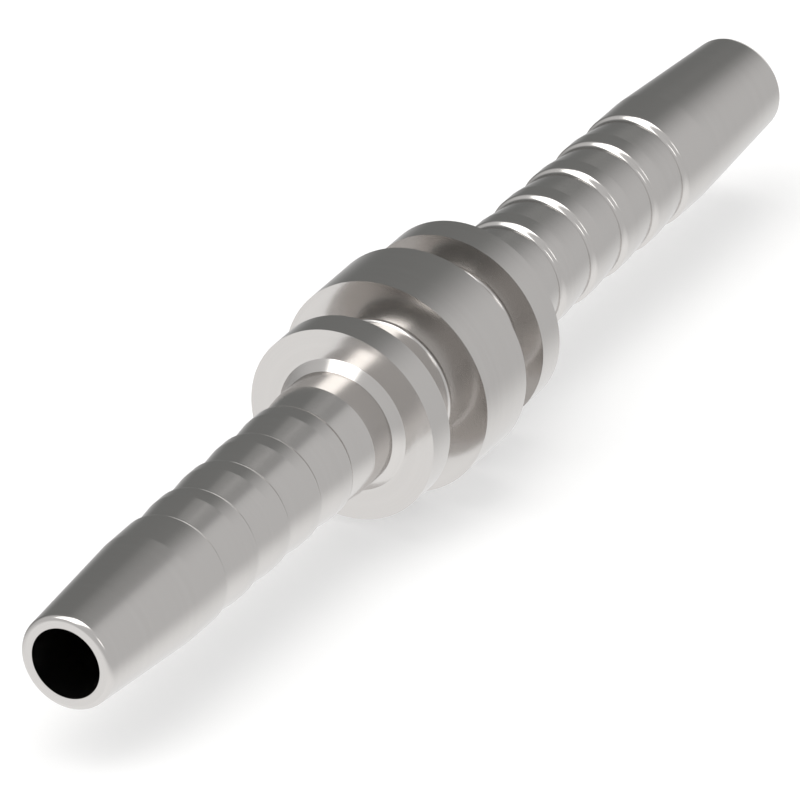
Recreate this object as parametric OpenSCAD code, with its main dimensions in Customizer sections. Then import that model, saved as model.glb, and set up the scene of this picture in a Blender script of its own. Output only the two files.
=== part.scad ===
// Straight hose nipple, turned from bar in one piece.
// Two equal barbed tails, a short plain seat behind each, and three collars
// with two ferrule grooves in the middle. The bore runs straight through.
// The axis lies along X, the origin is the middle of the part.

/* [Bore] */
// Diameter of the bore, one size from end to end
bore_d = 4; // [2:0.1:4.6]

/* [Collars] */
// Diameter of the middle collar
mid_d = 12; // [9:0.5:18]
// Width of the middle collar
mid_w = 4; // [1:0.5:10]
// Diameter of the two outer collars
end_d = 10.8; // [9:0.1:16]
// Width of each outer collar
end_w = 1.7; // [0.8:0.1:5]
// Width of each groove between two collars
groove_w = 2.8; // [1:0.1:6]
// Diameter at the bottom of the grooves
hub_d = 7.4; // [6:0.1:8.4]
// Radius in the two corners of each groove
groove_r = 0.2; // [0.05:0.05:0.3]
// Height and width of the sloping corner between a plain seat and its collar
corner_w = 0.5; // [0.1:0.05:1]

/* [Hose tails] */
// Diameter over the barbs, which is also that of the plain seat
crest_d = 6.5; // [6:0.1:6.8]
// Depth of the root behind each barb, which its steep side climbs at 45 degrees
barb_depth = 0.22; // [0.18:0.01:0.4]
// Number of barbs on each tail
barb_n = 5; // [1:1:8]
// Distance from one barb to the next
barb_pitch = 3.2; // [2:0.1:5]
// Length of the flat land on top of a barb
land_w = 0.96; // [0.3:0.02:1.4]
// Length of the land of the first barb
front_w = 2.45; // [0.5:0.05:5]
// Length of the plain seat between the outer collar and the first slope
seat_w = 2.26; // [1.2:0.02:6]
// Radius at the top of a barb's steep side
crest_r = 0.2; // [0.05:0.05:0.25]
// Radius in the root of a barb
root_r = 0.2; // [0.05:0.05:0.25]

/* [Tips] */
// Length of the lead-in cone
lead_w = 8.25; // [3:0.25:15]
// Diameter where the lead-in cone meets the end face
tip_d = 5.35; // [5.3:0.05:5.9]
// Radius round the end face
tip_r = 0.28; // [0.05:0.01:0.3]

/* [Hidden] */
mid_x = mid_w / 2;
groove_x = mid_x + groove_w;
face_x = groove_x + end_w;
seat_x = face_x + seat_w;
slope_w = barb_pitch - land_w;
first_x = seat_x + slope_w;
front_x = first_x + (barb_n - 1) * barb_pitch;
lead_x = front_x + front_w;
end_x = lead_x + lead_w;
hub_r = hub_d / 2;
top_r = crest_d / 2;
fall = atan(barb_depth / (slope_w - barb_depth));
taper = (top_r - tip_d / 2) / lead_w;
crest_t = crest_r * tan(45 / 2);
root_t = root_r * tan((45 + fall) / 2);
arc_n = 6;
$fn = 180;

// A short arc about (x, r), from angle a to angle b
function arc(x, r, size, a, b) =
    [for (i = [0:arc_n]) let (t = a + (b - a) * i / arc_n) [x + size * cos(t), r + size * sin(t)]];

// One groove with a rounded corner at each side, from x = mid_x outward
function groove() = concat(
    [[mid_x, mid_d / 2]],
    arc(mid_x + groove_r, hub_r + groove_r, groove_r, 180, 270),
    arc(groove_x - groove_r, hub_r + groove_r, groove_r, -90, 0),
    [[groove_x, end_d / 2]]
);

// Face of the outer collar, its corner cone and the plain seat
function seat() = [
    [face_x, end_d / 2],
    [face_x, top_r + corner_w],
    [face_x + corner_w, top_r],
    [seat_x, top_r]
];

// Root, steep side and crest of the barb whose land starts at x
function barb(x, land) = concat(
    arc(x - barb_depth - root_t * cos(fall) + root_r * sin(fall),
        top_r - barb_depth + root_t * sin(fall) + root_r * cos(fall),
        root_r, -90 - fall, -45),
    arc(x + crest_t, top_r - crest_r, crest_r, 135, 90),
    [[x + land, top_r]]
);

// Rounded end of the lead-in cone
function tip() = arc(
    end_x - tip_r, tip_d / 2 + tip_r * (taper - sqrt(1 + taper * taper)),
    tip_r, 90 - atan(taper), 0
);

// Outline of one half, from the middle of the part to its end face
half = concat(
    groove(),
    seat(),
    [for (i = [0:barb_n - 1], p = barb(first_x + i * barb_pitch, i < barb_n - 1 ? land_w : front_w)) p],
    tip()
);

// The whole outline as [radius, position along the axis]
outline = concat(
    [[bore_d / 2, end_x]],
    [for (i = [len(half) - 1:-1:0]) [half[i][1], half[i][0]]],
    [for (p = half) [p[1], -p[0]]],
    [[bore_d / 2, -end_x]]
);

// The outline turned about the bore
module nipple_body() {
    color([0.72, 0.71, 0.69])
        rotate([0, -90, 0])
            rotate_extrude()
                polygon(outline);
}

nipple_body();
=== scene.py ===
# %% [markdown]
# # A turned steel hose nipple
#
# This lesson dresses one small part: a straight hose nipple, cut on a lathe from
# a steel bar. The real piece is a body of revolution, so nearly all the modelling
# is one drawn outline that is spun round an axis. The rest of the lesson is about
# the metal, because bare steel shows little colour of its own and mostly mirrors
# the room: the studio has to be built as carefully as the part.

# %% Load the frame
import math

import bmesh
import bpy
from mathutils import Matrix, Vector


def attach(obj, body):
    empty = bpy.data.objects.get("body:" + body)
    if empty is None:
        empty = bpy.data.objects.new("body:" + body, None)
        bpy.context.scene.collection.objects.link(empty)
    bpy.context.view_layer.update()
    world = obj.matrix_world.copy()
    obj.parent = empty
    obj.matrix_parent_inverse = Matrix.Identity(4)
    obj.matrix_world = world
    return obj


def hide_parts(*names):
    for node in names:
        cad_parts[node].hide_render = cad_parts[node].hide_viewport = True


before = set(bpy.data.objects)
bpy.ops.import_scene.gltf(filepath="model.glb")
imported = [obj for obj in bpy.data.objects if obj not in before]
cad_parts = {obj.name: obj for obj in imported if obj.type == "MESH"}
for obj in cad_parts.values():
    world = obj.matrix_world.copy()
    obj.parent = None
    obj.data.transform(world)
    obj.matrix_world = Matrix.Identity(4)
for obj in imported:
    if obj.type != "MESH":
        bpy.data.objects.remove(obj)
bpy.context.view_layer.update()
MM = 0.001
print("frame nodes:", sorted(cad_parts))

# %% [markdown]
# ## The sizes
#
# A lathe drawing gives positions along the axis and radii. Both halves of the
# nipple are alike, so one half is drawn, from the middle collar out to the tip.
# Naming each size first keeps the outline readable, and a later change is made
# in one place only.

# %% Sizes of one half, in millimetres
BORE_R = 2.0
MIDDLE_R, MIDDLE_END = 6.0, 2.0
GROOVE_R, GROOVE_END, GROOVE_CORNER = 3.7, 4.8, 0.2
OUTER_R, OUTER_END = 5.4, 6.5
CREST_R, ROOT_DEPTH = 3.25, 0.22
CORNER_CONE, SEAT_END = 0.5, 8.76
BARB_PITCH, LAND, FRONT_LAND, BARBS = 3.2, 0.96, 2.45, 5
CREST_CORNER, ROOT_CORNER = 0.2, 0.2
LEAD_IN, TIP_R, TIP_CORNER = 8.25, 2.675, 0.28
SLOPE = BARB_PITCH - LAND
LEAD_START = SEAT_END + SLOPE + (BARBS - 1) * BARB_PITCH + FRONT_LAND
TIP_END = LEAD_START + LEAD_IN
print("half length", round(TIP_END, 3), "mm, lead-in cone from", round(LEAD_START, 3), "mm")

# %% [markdown]
# ## The outline
#
# The outline is a chain of points, each with the radius that its corner gets.
# Most corners on a lathe part are either dead sharp or carry the small radius of
# the tool's nose, so a corner radius of 0 means sharp. Drawing straight lines
# first and rounding them afterwards is how a draughtsman works too. The barbs are
# the part to get right: a long gentle slope down to a root, and a steep side at 45
# degrees back up to a short land, which holds the hose when it is pulled.

# %% Outline of one half: (along the axis, radius, corner radius)
def barb(crest, land):
    """Root, steep side and land of one barb, from the middle outward."""
    return [
        (crest - ROOT_DEPTH, CREST_R - ROOT_DEPTH, ROOT_CORNER),
        (crest, CREST_R, CREST_CORNER),
        (crest + land, CREST_R, 0.0),
    ]


half = [
    (MIDDLE_END, MIDDLE_R, 0.0),
    (MIDDLE_END, GROOVE_R, GROOVE_CORNER),
    (GROOVE_END, GROOVE_R, GROOVE_CORNER),
    (GROOVE_END, OUTER_R, 0.0),
    (OUTER_END, OUTER_R, 0.0),
    (OUTER_END, CREST_R + CORNER_CONE, 0.0),
    (OUTER_END + CORNER_CONE, CREST_R, 0.0),
    (SEAT_END, CREST_R, 0.0),
]
for i in range(BARBS):
    half += barb(SEAT_END + SLOPE + i * BARB_PITCH, LAND if i < BARBS - 1 else FRONT_LAND)
half += [(TIP_END, TIP_R, TIP_CORNER), (TIP_END, BORE_R, 0.0)]
outline = [(-x, r, corner) for x, r, corner in reversed(half)] + half
print("outline points before rounding:", len(outline))

# %% [markdown]
# ## Rounding the corners
#
# The outline starts as loose vertices joined by edges. Bevel with
# affect="VERTICES" rounds a corner of such a wire, just as it would round the
# corner of a drawing. With offset_type="ABSOLUTE" it is told how far from the
# corner the curve begins, which for an arc is the radius times the tangent of half
# the turn. The corners are grouped by that distance, so each group takes one call.
# Segments are only cheap here, because every one of them is repeated all the way
# round the part.

# %% Draw the wire and round its corners
ARC_STEPS = 6
lathe = bmesh.new()
points = [lathe.verts.new((x * MM, 0, r * MM)) for x, r, corner in outline]
for a, b in zip(points, points[1:] + points[:1]):
    lathe.edges.new((a, b))
groups = {}
for i, (x, r, corner) in enumerate(outline):
    if corner:
        way_in = points[i].co - points[i - 1].co
        way_out = points[i + 1].co - points[i].co
        cut_back = corner * math.tan(way_in.angle(way_out) / 2)
        groups.setdefault(round(cut_back, 4), []).append(points[i])
for cut_back, corners in sorted(groups.items()):
    bmesh.ops.bevel(
        lathe, geom=corners, offset=cut_back * MM, offset_type="ABSOLUTE", segments=ARC_STEPS,
        profile=0.5, affect="VERTICES", material=-1, clamp_overlap=False,
    )
print("rounded corners by start distance:", {k: len(v) for k, v in sorted(groups.items())})
print("wire vertices after rounding:", len(lathe.verts))

# %% [markdown]
# ## Notes for the shader, written on the wire
#
# Two things are easy to know now and hard to find later. The first is how far
# along the outline a vertex lies: a turned surface carries its tool marks at that
# distance, on a flat face as much as on a cylinder. The second is whether a vertex
# lies inside a rounded corner, where shading should run on, or at the end of a
# straight cut, where it should break. A rounded corner shows as short steps of one
# length on both sides of the vertex. Both notes are stored as vertex layers, and the
# spin copies them round the part.

# %% Walk the wire and store distance and softness
SHORT_STEP, EVEN_STEPS = 0.1 * MM, 1.2
along = lathe.verts.layers.float.new("along")
soft = lathe.verts.layers.float.new("soft")


def neighbours(v):
    return [e.other_vert(v) for e in v.link_edges]


first = min(lathe.verts, key=lambda v: (v.co.x, v.co.z))
before, here, distance = first, max(neighbours(first), key=lambda v: v.co.z), 0.0
while here is not first:
    distance += (here.co - before.co).length
    here[along] = distance
    after = next(v for v in neighbours(here) if v is not before)
    steps = (here.co - before.co).length, (after.co - here.co).length
    in_corner = max(steps) < SHORT_STEP and max(steps) < EVEN_STEPS * min(steps)
    here[soft] = 1.0 if in_corner else 0.0
    before, here = here, after
soft_count = sum(v[soft] > 0 for v in lathe.verts)
print("outline length", round(distance / MM, 2), "mm,", soft_count, "vertices inside round corners")

# %% [markdown]
# ## Turning the part
#
# Spin sweeps the wire round the X axis, exactly as the lathe does. A full turn
# needs use_merge, or the last copy stays unjoined over the first. The normals are
# recalculated afterwards, because the direction in which a wire was drawn decides
# which side a spin calls its outside. Screw would do the same as a modifier, but
# the layers above are easier to follow on a mesh that is already whole.

# %% Spin the wire into a closed body
TURNS = 192
WELD = 0.0005 * MM
bmesh.ops.spin(
    lathe, geom=lathe.verts[:] + lathe.edges[:], cent=(0, 0, 0), axis=(1, 0, 0),
    dvec=(0, 0, 0), angle=math.tau, steps=TURNS, use_merge=True,
)
bmesh.ops.remove_doubles(lathe, verts=lathe.verts, dist=WELD)
bmesh.ops.recalc_face_normals(lathe, faces=lathe.faces)
for face in lathe.faces:
    face.smooth = True
open_edges = sum(not e.is_manifold for e in lathe.edges)
print("faces", len(lathe.faces), "open edges", open_edges)
print("volume", round(lathe.calc_volume() / MM**3, 1), "mm3")

# %% [markdown]
# ## Sharp where the tool changed direction
#
# Smooth shading blends the normals of faces that meet. That is right round the
# part and inside a rounded corner, and wrong where a cone meets a cylinder: there
# the metal has a crisp line. An edge that runs round the part joins two vertices
# with the same distance along the outline, so those rings are found by the layer
# and marked sharp unless they lie inside a rounded corner.

# %% Mark the rings
SAME_RING = 0.0001 * MM
sharp_edges = 0
for edge in lathe.edges:
    a, b = edge.verts
    if abs(a[along] - b[along]) < SAME_RING and a[soft] == 0.0:
        edge.smooth = False
        sharp_edges += 1
print("sharp rings", sharp_edges // TURNS)

# %% [markdown]
# ## From mesh data to a piece
#
# The finished bmesh becomes an ordinary object. It stays at the origin, because the
# outline was drawn in the part's own frame. It stands for the plain CAD solid, takes
# its place in every view, and moves with the part's only body.

# %% Make the nipple and let it ride on the frame
nipple_mesh = bpy.data.meshes.new("nipple_turned")
lathe.to_mesh(nipple_mesh)
lathe.free()
nipple = bpy.data.objects.new("nipple_turned", nipple_mesh)
bpy.context.scene.collection.objects.link(nipple)
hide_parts("nipple_body")
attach(nipple, "root")
print("nipple size in mm:", [round(v / MM, 3) for v in nipple.dimensions])

# %% [markdown]
# ## Writing shader maths as Python
#
# A node tree for a formula grows long fast. The class below wraps one output
# socket and overloads the arithmetic signs, so that 1 - mask adds the Math node by
# itself. Every other node comes from one method, which sets the node's own
# settings first and then its sockets, by value or by link.

# %% A wire that can be added and multiplied, and a graph that makes nodes
class Wire:
    """One output socket of a node."""

    def __init__(self, graph, socket):
        self.graph, self.socket = graph, socket

    def _math(self, operation, a, b):
        return self.graph.node("ShaderNodeMath", {"operation": operation}, {0: a, 1: b})

    def __add__(self, other):
        return self._math("ADD", self, other)

    def __sub__(self, other):
        return self._math("SUBTRACT", self, other)

    def __rsub__(self, other):
        return self._math("SUBTRACT", other, self)

    def __mul__(self, other):
        return self._math("MULTIPLY", self, other)

    def __truediv__(self, other):
        return self._math("DIVIDE", self, other)

    def __rtruediv__(self, other):
        return self._math("DIVIDE", other, self)

    __radd__ = __add__
    __rmul__ = __mul__


class Graph:
    """The node tree of a material or a world, emptied and ready to be drawn."""

    def __init__(self, owner):
        owner.use_nodes = True
        self.tree = owner.node_tree
        self.tree.nodes.clear()

    def node(self, kind, settings=None, inputs=None, output=0):
        """Make a node, set it up, fill or link its sockets and return one output."""
        made = self.tree.nodes.new(kind)
        for name, value in (settings or {}).items():
            setattr(made, name, value)
        for name, value in (inputs or {}).items():
            if isinstance(value, Wire):
                self.tree.links.new(value.socket, made.inputs[name])
            else:
                made.inputs[name].default_value = value
        return Wire(self, made.outputs[output]) if made.outputs else None

    def blend(self, factor, a, b):
        """Mix two colours: a where factor is 0, b where it is 1."""
        sockets = {0: factor, 6: a, 7: b}
        return self.node("ShaderNodeMix", {"data_type": "RGBA"}, sockets, output=2)

    def rise(self, value, low, high):
        """0 below low, 1 above high and a soft step between."""
        return self.node(
            "ShaderNodeMapRange", {"interpolation_type": "SMOOTHSTEP"},
            {"Value": value, "From Min": low, "From Max": high},
        )

    def dot(self, vector, direction):
        """How far a vector reaches in a direction."""
        return self.node(
            "ShaderNodeVectorMath", {"operation": "DOT_PRODUCT"}, {0: vector, 1: direction},
            output="Value",
        )


print("made the classes", Wire.__name__, "and", Graph.__name__)

# %% [markdown]
# ## Turned steel
#
# Bright steel from a lathe is a mirror with a fine thread cut into it. Its colour
# is the pale, faintly warm grey of the metal, its roughness varies a little from
# ring to ring, and its surface carries rings a few hundredths of a millimetre
# apart. All three are driven by the distance along the outline, stored as a vertex
# layer: a noise in one dimension draws the rings on the cylinders, the cones and
# the flat faces alike, and they never run across an edge. A Specular Tint a little
# under white keeps the edges, which are seen at a glancing angle, from flaring.

# %% Rings along the outline
steel = bpy.data.materials.new("turned_steel")
g = Graph(steel)
path = g.node("ShaderNodeAttribute", {"attribute_name": "along"}, output="Fac") * (1 / MM)


def rings(per_mm, detail, seed):
    """Rings at a given density, from 0 to 1."""
    return g.node(
        "ShaderNodeTexNoise", {"noise_dimensions": "1D"},
        {"W": path + seed, "Scale": per_mm, "Detail": detail, "Roughness": 0.6},
    )


fine = rings(per_mm=14.0, detail=2.0, seed=0.0)
broad = rings(per_mm=2.2, detail=1.0, seed=37.0)
place = g.node("ShaderNodeTexCoord", output="Object")
cloud = g.node(
    "ShaderNodeTexNoise", {},
    {"Vector": place, "Scale": 160.0, "Detail": 3.0, "Roughness": 0.5},
)
print("ring and cloud nodes:", len(steel.node_tree.nodes))

# %% Steel for the whole part
DEEP_STEEL, PALE_STEEL = (0.645, 0.625, 0.608, 1), (0.665, 0.645, 0.628, 1)
EDGE_TINT = (0.88, 0.88, 0.88, 1)
POLISH, POLISH_PLAY = 0.14, 0.02
RING_DEPTH, RING_STRENGTH = 0.02 * MM, 0.02
tone = g.rise(fine * 0.5 + broad * 0.3 + cloud * 0.2, 0.3, 0.7)
colour = g.blend(tone, DEEP_STEEL, PALE_STEEL)
roughness = POLISH + fine * POLISH_PLAY + cloud * POLISH_PLAY
bump = g.node(
    "ShaderNodeBump", {},
    {"Strength": RING_STRENGTH, "Distance": RING_DEPTH, "Height": fine},
)
shader = g.node(
    "ShaderNodeBsdfPrincipled", {},
    {
        "Base Color": colour, "Metallic": 1.0, "Roughness": roughness, "Normal": bump,
        "Specular Tint": EDGE_TINT,
    },
)
g.node("ShaderNodeOutputMaterial", {}, {"Surface": shader})
nipple_mesh.materials.append(steel)
print("steel nodes:", len(steel.node_tree.nodes))

# %% [markdown]
# ## The floor
#
# The nipple lies on its middle collar, so the floor touches the collar's lowest
# line. The floor is a plain pale card. It glows a little, so that it comes out
# white, and it still takes the soft shadow that shows where the part lies. Glossy
# rays pass through it, by Is Glossy Ray and a Mix Shader, because the metal mirrors
# the studio's own ground, which the world draws: white below the part and greyer
# towards the horizon. A floor this close would be white all the way out.

# %% Floor card
CARD_REACH = 0.6
card = bmesh.new()
bmesh.ops.create_grid(card, x_segments=1, y_segments=1, size=CARD_REACH)
bmesh.ops.translate(card, verts=card.verts, vec=(0, 0, -MIDDLE_R * MM))
floor_mesh = bpy.data.meshes.new("floor_card")
card.to_mesh(floor_mesh)
card.free()
floor = bpy.data.objects.new("floor_card", floor_mesh)
bpy.context.scene.collection.objects.link(floor)
print("floor at", round(floor_mesh.vertices[0].co.z / MM, 2), "mm")

# %% Pale card
CARD_GREY, CARD_GLOW = (0.6, 0.6, 0.6, 1), 0.45
paper = bpy.data.materials.new("pale_card")
g = Graph(paper)
card_shader = g.node(
    "ShaderNodeBsdfPrincipled", {},
    {
        "Base Color": CARD_GREY, "Roughness": 1.0, "Specular IOR Level": 0.0,
        "Emission Color": (1, 1, 1, 1), "Emission Strength": CARD_GLOW,
    },
)
mirrored = g.node("ShaderNodeLightPath", output="Is Glossy Ray")
see_through = g.node("ShaderNodeBsdfTransparent")
blend = g.node("ShaderNodeMixShader", {}, {0: mirrored, 1: card_shader, 2: see_through})
g.node("ShaderNodeOutputMaterial", {}, {"Surface": blend})
floor_mesh.materials.append(paper)
print("card nodes:", len(paper.node_tree.nodes))

# %% [markdown]
# ## The studio
#
# Polished metal is lit by what stands round it. The photograph's metal shows a
# bright ground that fades towards the horizon, a dark wall behind the part, a
# mid-grey room on the camera's side, a long soft lamp overhead and a small one on
# the right. A dim panel hangs past the overhead lamp's end, and a pale window stands
# low behind the far tail, which gives the near barbs their thin glints. The nipple's
# own curves map that room: each direction in it turns up somewhere on a corner
# radius. The world draws it with a few smooth steps on the direction. A lamp is a
# soft rectangle: two steps measured across and along it, on a flat card held square
# to the lamp's direction. A direction beside or behind the card never meets it, so
# the lamp fades out there, and the depth that is divided by has a least value. The
# camera sees plain white behind the part, by Is Camera Ray. The metal doesn't mirror
# that white: in an even white room it would lose its form.

# %% Directions, and a lamp to hang in them
LEAST_DEPTH, FADE_DEPTH = 0.05, 0.1
studio = bpy.data.worlds.new("studio")
bpy.context.scene.world = studio
g = Graph(studio)
sky = g.node("ShaderNodeTexCoord", output="Generated")
x, y, z = g.dot(sky, (1, 0, 0)), g.dot(sky, (0, 1, 0)), g.dot(sky, (0, 0, 1))


def lamp(facing, along_card, half_length, half_width, blur):
    """A soft rectangle on a card one unit away, square to facing."""
    facing = Vector(facing).normalized()
    long_way = Vector(along_card)
    long_way = (long_way - facing * long_way.dot(facing)).normalized()
    near = g.dot(sky, facing)
    depth = g.node("ShaderNodeMath", {"operation": "MAXIMUM"}, {0: near, 1: LEAST_DEPTH})
    shape = g.rise(near, 0.0, FADE_DEPTH)
    for way, half_size in ((long_way, half_length), (facing.cross(long_way), half_width)):
        reach = g.node("ShaderNodeMath", {"operation": "ABSOLUTE"}, {0: g.dot(sky, way) / depth})
        shape = shape * (1 - g.rise(reach, half_size - blur, half_size + blur))
    return shape


print("nodes for the directions:", len(studio.node_tree.nodes))

# %% What stands where in the studio
WINDOW_WAY = Vector((0.985, 0.15, 0.08)).normalized()
wall = g.rise(y, -0.55, 0.2) * g.rise(x, -0.3, 0.4) * g.rise(z, -0.6, 0.05)
wall_end = g.rise(x, 0.87, 0.94)
ground = 1 - g.rise(z + x * 0.115, -0.70, -0.16)
window = g.rise(g.dot(sky, WINDOW_WAY), 0.93, 0.965)
panel = lamp((0.56, 0.06, 0.83), (0, 1, 0), half_length=0.39, half_width=0.15, blur=0.10)
overhead = lamp(
    (-0.245, 0.235, 0.94), (0.85, -0.47, 0.0), half_length=1.0, half_width=0.37, blur=0.07
)
fill = lamp((-0.30, -0.77, 0.56), (0, 0, 1), half_length=0.17, half_width=0.08, blur=0.05)
print("nodes for the shapes:", len(studio.node_tree.nodes))

# %% How bright each of them is
ROOM_GREY, WALL_DARK = (0.655, 0.655, 0.655, 1), (0.214, 0.218, 0.215, 1)
WINDOW_PALE, PANEL_DIM = (1.25, 1.245, 1.23, 1), (0.345, 0.347, 0.345, 1)
GROUND_WHITE = (1.085, 1.085, 1.085, 1)
OVERHEAD_GLOW, FILL_GLOW = (2.6, 2.58, 2.54, 1), (3.0, 2.98, 2.94, 1)
PLAIN_WHITE = (1, 1, 1, 1)
room = g.blend(wall * (1 - wall_end), ROOM_GREY, WALL_DARK)
room = g.blend(window, room, WINDOW_PALE)
room = g.blend(panel, room, PANEL_DIM)
room = g.blend(ground, room, GROUND_WHITE)
room = g.blend(overhead, room, OVERHEAD_GLOW)
room = g.blend(fill, room, FILL_GLOW)
seen = g.node("ShaderNodeLightPath", output="Is Camera Ray")
backdrop = g.blend(seen, room, PLAIN_WHITE)
light = g.node("ShaderNodeBackground", {}, {"Color": backdrop})
g.node("ShaderNodeOutputWorld", {}, {"Surface": light})
print("world nodes:", len(studio.node_tree.nodes))

# %% [markdown]
# ## The camera
#
# The photograph has no perspective to speak of: rings of the same size at both
# ends measure the same. A long lens from nearly two metres gives that look to
# within three pixels, and unlike an orthographic camera it still frames the whole
# part when it is moved round to another side.

# %% The way the camera looks
AXIS_ANGLE, DROP = math.radians(30), math.radians(30)
level = math.cos(DROP)
look = Vector((math.cos(AXIS_ANGLE) * level, math.sin(AXIS_ANGLE) * level, -math.sin(DROP)))
right = look.cross(Vector((0, 0, 1))).normalized()
up = right.cross(look)
print("angle to the bore:", round(math.degrees(look.angle(Vector((1, 0, 0)))), 1), "degrees")

# %% Long lens at the photograph's angle
FRAME_WIDTH, AWAY = 41.14 * MM, 1.9
PHOTO_SIDE, AIM_RIGHT, AIM_UP = 800, -5.71, -30.31
SENSOR = 36.0
pixel = FRAME_WIDTH / PHOTO_SIDE
aim = right * AIM_RIGHT * pixel + up * AIM_UP * pixel
lens = bpy.data.cameras.new("long_lens")
lens.sensor_width = SENSOR
lens.lens = SENSOR * AWAY / FRAME_WIDTH
lens.clip_start, lens.clip_end = 0.1, 10.0
camera = bpy.data.objects.new("long_lens", lens)
camera.location = aim - look * AWAY
camera.rotation_mode = "QUATERNION"
camera.rotation_quaternion = look.to_track_quat("-Z", "Y")
bpy.context.scene.collection.objects.link(camera)
bpy.context.scene.camera = camera
bpy.context.scene.view_settings.view_transform = "Standard"
print("focal length", round(lens.lens), "mm, frame", round(FRAME_WIDTH / MM, 1), "mm wide")

# %% [markdown]
# ## Finishing
#
# The dressed part may not outgrow its drawing. At the end the view layer is brought up to date.

# %% Bring the view layer up to date and finish
bpy.context.view_layer.update()
